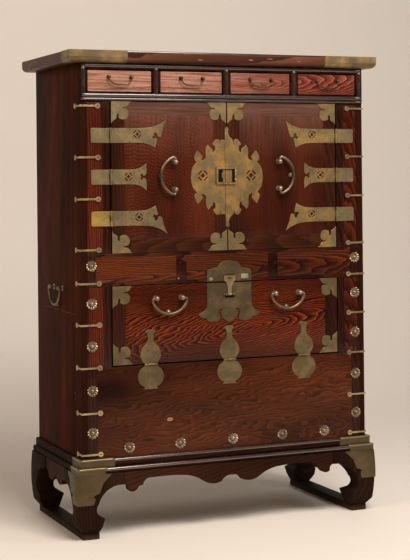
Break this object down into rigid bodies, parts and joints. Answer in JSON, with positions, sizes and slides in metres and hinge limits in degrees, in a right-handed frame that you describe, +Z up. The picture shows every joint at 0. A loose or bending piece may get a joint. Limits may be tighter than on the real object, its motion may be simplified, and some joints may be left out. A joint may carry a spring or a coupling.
{
  "type": "two tier storage chest",
  "caption": "Tall lacquered elm chest on a scrolled-leg stand, with small drawers, a double-door cupboard, a drop-front cupboard and brass fittings.",
  "frame": {"origin": "on the floor under the middle of the top board, which sets the outline in plan", "axes": "+Z up, the front faces -Y, +X to the right seen from the front"},
  "size_m": [0.8884, 0.4226, 1.2489],
  "materials": {
    "side_elm": "dark brown oiled elm, satin",
    "back_wood": "plain brown softwood, matt",
    "inner_wood": "unfinished softwood, matt",
    "figured_elm": "red-brown figured elm, glossy",
    "dark_lacquer": "near-black brown lacquer, glossy",
    "drawer_elm": "pinkish red-brown elm, satin",
    "stand_elm": "dark red-brown elm, satin",
    "aged_brass": "aged pale brass, satin",
    "dull_brass": "dull pale brass, satin",
    "lock_brass": "aged brass with a yellower rim, satin"
  },
  "bodies": {
    "root": {"side_board_left": "side_elm", "side_board_right": "side_elm", "back_panel": "back_wood", "bottom_board": "inner_wood", "leaf_stops": "inner_wood", "middle_shelf": "inner_wood", "drawer_deck": "inner_wood", "top_board": "side_elm", "top_corner_caps": "aged_brass", "front_stiles": "dark_lacquer", "front_panels": "figured_elm", "middle_rail": "dark_lacquer", "lower_front_panel": "figured_elm", "drawer_frame": "dark_lacquer", "base_moulding": "dark_lacquer", "stand_frame": "dark_lacquer", "stand_legs": "stand_elm", "floor_stretchers": "stand_elm", "front_apron": "stand_elm", "side_aprons": "stand_elm", "stand_corner_mounts": "dull_brass", "elbow_straps": "aged_brass", "flower_nails": "dull_brass", "door_frame_leaves": "aged_brass", "gourd_lower_leaves": "dull_brass", "hinge_pins": "aged_brass", "rail_lock_plate": "dull_brass", "side_bail_posts": "aged_brass"},
    "left_door": {"left_door_board": "figured_elm", "left_door_plates": "dull_brass", "left_lock_plate": "lock_brass", "left_door_posts": "aged_brass"},
    "right_door": {"right_door_board": "figured_elm", "right_door_plates": "dull_brass", "right_lock_plate": "lock_brass", "right_door_posts": "aged_brass"},
    "flap": {"flap_board": "figured_elm", "flap_plates": "dull_brass", "flap_lock_plate": "dull_brass", "flap_bail_posts": "aged_brass"},
    "side_bail_left": {"side_bail_left": "aged_brass"},
    "side_bail_right": {"side_bail_right": "aged_brass"},
    "left_door_bail": {"left_door_bail": "aged_brass"},
    "right_door_bail": {"right_door_bail": "aged_brass"},
    "hasp_ring": {"hasp_ring": "lock_brass"},
    "flap_hasp": {"flap_hasp": "aged_brass"},
    "flap_bail_left": {"flap_bail_left": "aged_brass"},
    "flap_bail_right": {"flap_bail_right": "aged_brass"},
    "drawer_1": {"drawer_1_box": "drawer_elm", "drawer_1_posts": "aged_brass"},
    "drawer_1_bail": {"drawer_1_bail": "aged_brass"},
    "drawer_2": {"drawer_2_box": "drawer_elm", "drawer_2_posts": "aged_brass"},
    "drawer_2_bail": {"drawer_2_bail": "aged_brass"},
    "drawer_3": {"drawer_3_box": "drawer_elm", "drawer_3_posts": "aged_brass"},
    "drawer_3_bail": {"drawer_3_bail": "aged_brass"},
    "drawer_4": {"drawer_4_box": "drawer_elm", "drawer_4_posts": "aged_brass"},
    "drawer_4_bail": {"drawer_4_bail": "aged_brass"}
  },
  "joints": [
    {"name": "drawer_1_slide", "type": "slide", "parent": "root", "child": "drawer_1", "axis": [0, -1, 0], "range_m": [0, 0.24]},
    {"name": "drawer_1_bail_swing", "type": "hinge", "parent": "drawer_1", "child": "drawer_1_bail", "pos_m": [-0.30075, -0.19695, 1.182], "axis": [-1, 0, 0], "range_deg": [0, 100]},
    {"name": "drawer_2_slide", "type": "slide", "parent": "root", "child": "drawer_2", "axis": [0, -1, 0], "range_m": [0, 0.24]},
    {"name": "drawer_2_bail_swing", "type": "hinge", "parent": "drawer_2", "child": "drawer_2_bail", "pos_m": [-0.10025, -0.19695, 1.182], "axis": [-1, 0, 0], "range_deg": [0, 100]},
    {"name": "drawer_3_slide", "type": "slide", "parent": "root", "child": "drawer_3", "axis": [0, -1, 0], "range_m": [0, 0.24]},
    {"name": "drawer_3_bail_swing", "type": "hinge", "parent": "drawer_3", "child": "drawer_3_bail", "pos_m": [0.10025, -0.19695, 1.182], "axis": [-1, 0, 0], "range_deg": [0, 100]},
    {"name": "drawer_4_slide", "type": "slide", "parent": "root", "child": "drawer_4", "axis": [0, -1, 0], "range_m": [0, 0.24]},
    {"name": "drawer_4_bail_swing", "type": "hinge", "parent": "drawer_4", "child": "drawer_4_bail", "pos_m": [0.30075, -0.19695, 1.182], "axis": [-1, 0, 0], "range_deg": [0, 100]},
    {"name": "right_door_swing", "type": "hinge", "parent": "root", "child": "right_door", "pos_m": [0.3275, -0.19115, 0.924], "axis": [0, 0, 1], "range_deg": [0, 160]},
    {"name": "left_door_swing", "type": "hinge", "parent": "root", "child": "left_door", "pos_m": [-0.3275, -0.19115, 0.924], "axis": [0, 0, -1], "range_deg": [0, 160]},
    {"name": "hasp_ring_swing", "type": "hinge", "parent": "right_door", "child": "hasp_ring", "pos_m": [0.023, -0.19235, 0.9255], "axis": [0, 0, 1], "range_deg": [0, 165]},
    {"name": "right_door_bail_swing", "type": "hinge", "parent": "right_door", "child": "right_door_bail", "pos_m": [0.15149, -0.19975, 0.92652], "axis": [0, 0, -1], "range_deg": [0, 100]},
    {"name": "left_door_bail_swing", "type": "hinge", "parent": "left_door", "child": "left_door_bail", "pos_m": [-0.15149, -0.19975, 0.92652], "axis": [0, 0, 1], "range_deg": [0, 100]},
    {"name": "flap_swing", "type": "hinge", "parent": "root", "child": "flap", "pos_m": [0, -0.19115, 0.438], "axis": [1, 0, 0], "range_deg": [0, 160]},
    {"name": "flap_hasp_swing", "type": "hinge", "parent": "flap", "child": "flap_hasp", "pos_m": [0.003, -0.19245, 0.611], "axis": [1, 0, 0], "range_deg": [0, 165]},
    {"name": "flap_bail_right_swing", "type": "hinge", "parent": "flap", "child": "flap_bail_right", "pos_m": [0.17151, -0.19975, 0.608], "axis": [-1, 0, 0], "range_deg": [0, 100]},
    {"name": "flap_bail_left_swing", "type": "hinge", "parent": "flap", "child": "flap_bail_left", "pos_m": [-0.17151, -0.19975, 0.608], "axis": [-1, 0, 0], "range_deg": [0, 100]},
    {"name": "side_bail_right_swing", "type": "hinge", "parent": "root", "child": "side_bail_right", "pos_m": [0.422, 0.00227, 0.63296], "axis": [0, -1, 0], "range_deg": [0, 95]},
    {"name": "side_bail_left_swing", "type": "hinge", "parent": "root", "child": "side_bail_left", "pos_m": [-0.422, 0.00227, 0.63296], "axis": [0, 1, 0], "range_deg": [0, 95]}
  ],
  "couplings": [
    {"joint": "left_door_swing", "follows": "right_door_swing", "ratio": 1}
  ]
}
